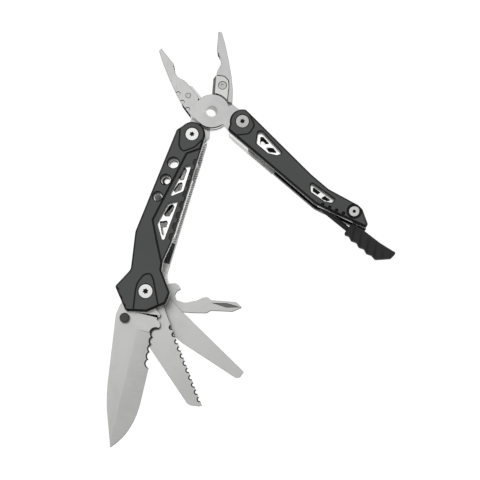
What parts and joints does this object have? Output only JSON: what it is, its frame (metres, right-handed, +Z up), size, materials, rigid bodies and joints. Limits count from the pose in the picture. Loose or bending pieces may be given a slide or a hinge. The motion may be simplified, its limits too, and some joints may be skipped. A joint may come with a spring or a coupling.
{
  "type": "multi tool",
  "caption": "Folding pocket multi tool: needle-nose pliers with two handles, fold-out knife, saw, file and bottle opener, and a pull-out fire starter.",
  "frame": {"origin": "middle of the footprint of the opened tool, on the surface it lies on", "axes": "+Y from the knife end towards the plier jaws, +X towards the second handle, +Z up out of the flat side"},
  "size_m": [0.1498, 0.2246, 0.019],
  "materials": {
    "scale_black": "satin charcoal, chamfered edges",
    "liner_steel": "bright brushed sheet",
    "blade_steel": "satin, fine lengthwise grain",
    "jaw_steel": "bead-blasted matt",
    "cutter_steel": "ground",
    "screw_steel": "turned",
    "stud_black": "black oxide",
    "grip_black": "moulded, matt",
    "rod_dark": "dull dark grey"
  },
  "bodies": {
    "handle_a": {"rear_scale_a": "scale_black", "front_scale_a": "scale_black", "rear_liner_a": "liner_steel", "front_liner_a": "liner_steel", "pivot_a_barrel": "screw_steel", "pivot_a_screw": "screw_steel", "tool_pivot_barrel": "screw_steel", "tool_pivot_screw": "screw_steel", "pivot_a_collar": "screw_steel", "tool_spacer": "liner_steel", "handle_pillar": "screw_steel", "stop_bar": "liner_steel"},
    "lock_leaf": {"lock_leaf": "liner_steel"},
    "knife": {"knife_blade": "blade_steel", "thumb_stud": "stud_black"},
    "saw": {"saw_blade": "blade_steel"},
    "file": {"file_driver": "blade_steel"},
    "opener": {"opener_driver": "blade_steel"},
    "rear_jaw": {"rear_jaw": "jaw_steel", "rear_jaw_cutter": "cutter_steel", "rear_jaw_cutter_screw": "screw_steel", "pivot_bush": "jaw_steel"},
    "front_jaw": {"front_jaw": "jaw_steel", "front_jaw_cutter": "cutter_steel", "front_jaw_cutter_screw": "screw_steel"},
    "handle_b": {"rear_scale_b": "scale_black", "front_scale_b": "scale_black", "rear_liner_b": "liner_steel", "front_liner_b": "liner_steel", "pivot_b_barrel": "screw_steel", "pivot_b_screw": "screw_steel", "end_b_barrel": "screw_steel", "end_b_screw": "screw_steel", "pivot_b_collar": "screw_steel", "back_spacer": "liner_steel"},
    "fire_starter": {"striker_grip": "grip_black", "fire_rod": "rod_dark"}
  },
  "joints": [
    {"name": "handle_a_fold", "type": "hinge", "parent": "handle_a", "child": "rear_jaw", "pos_m": [-0.03208, 0.05147, 0.006], "axis": [0, 0, -1], "range_deg": [-163.2, 0]},
    {"name": "jaw_pivot", "type": "hinge", "parent": "rear_jaw", "child": "front_jaw", "pos_m": [-0.02203, 0.06665, 0.0077], "axis": [0, 0, 1], "range_deg": [-41.5, 0]},
    {"name": "handle_b_fold", "type": "hinge", "parent": "front_jaw", "child": "handle_b", "pos_m": [-0.00531, 0.05948, 0.0094], "axis": [0, 0, -1], "range_deg": [-173.7, 0]},
    {"name": "knife_fold", "type": "hinge", "parent": "handle_a", "child": "knife", "pos_m": [-0.05549, -0.03294, 0.0137], "axis": [0, 0, -1], "range_deg": [-176.5, 0]},
    {"name": "saw_fold", "type": "hinge", "parent": "handle_a", "child": "saw", "pos_m": [-0.05549, -0.03294, 0.0118], "axis": [0, 0, -1], "range_deg": [-140, 38.9]},
    {"name": "file_fold", "type": "hinge", "parent": "handle_a", "child": "file", "pos_m": [-0.05549, -0.03294, 0.0075], "axis": [0, 0, -1], "range_deg": [-112.7, 64]},
    {"name": "opener_fold", "type": "hinge", "parent": "handle_a", "child": "opener", "pos_m": [-0.05549, -0.03294, 0.0055], "axis": [0, 0, -1], "range_deg": [-83.5, 96]},
    {"name": "lock_leaf_flex", "type": "hinge", "parent": "handle_a", "child": "lock_leaf", "pos_m": [-0.05304, 0.00581, 0.01535], "axis": [0.9636, -0.2672, 0], "range_deg": [0, 2.2]},
    {"name": "fire_starter_slide", "type": "slide", "parent": "handle_b", "child": "fire_starter", "axis": [0.7627, -0.6468, 0], "range_m": [-0.02, 0]}
  ]
}
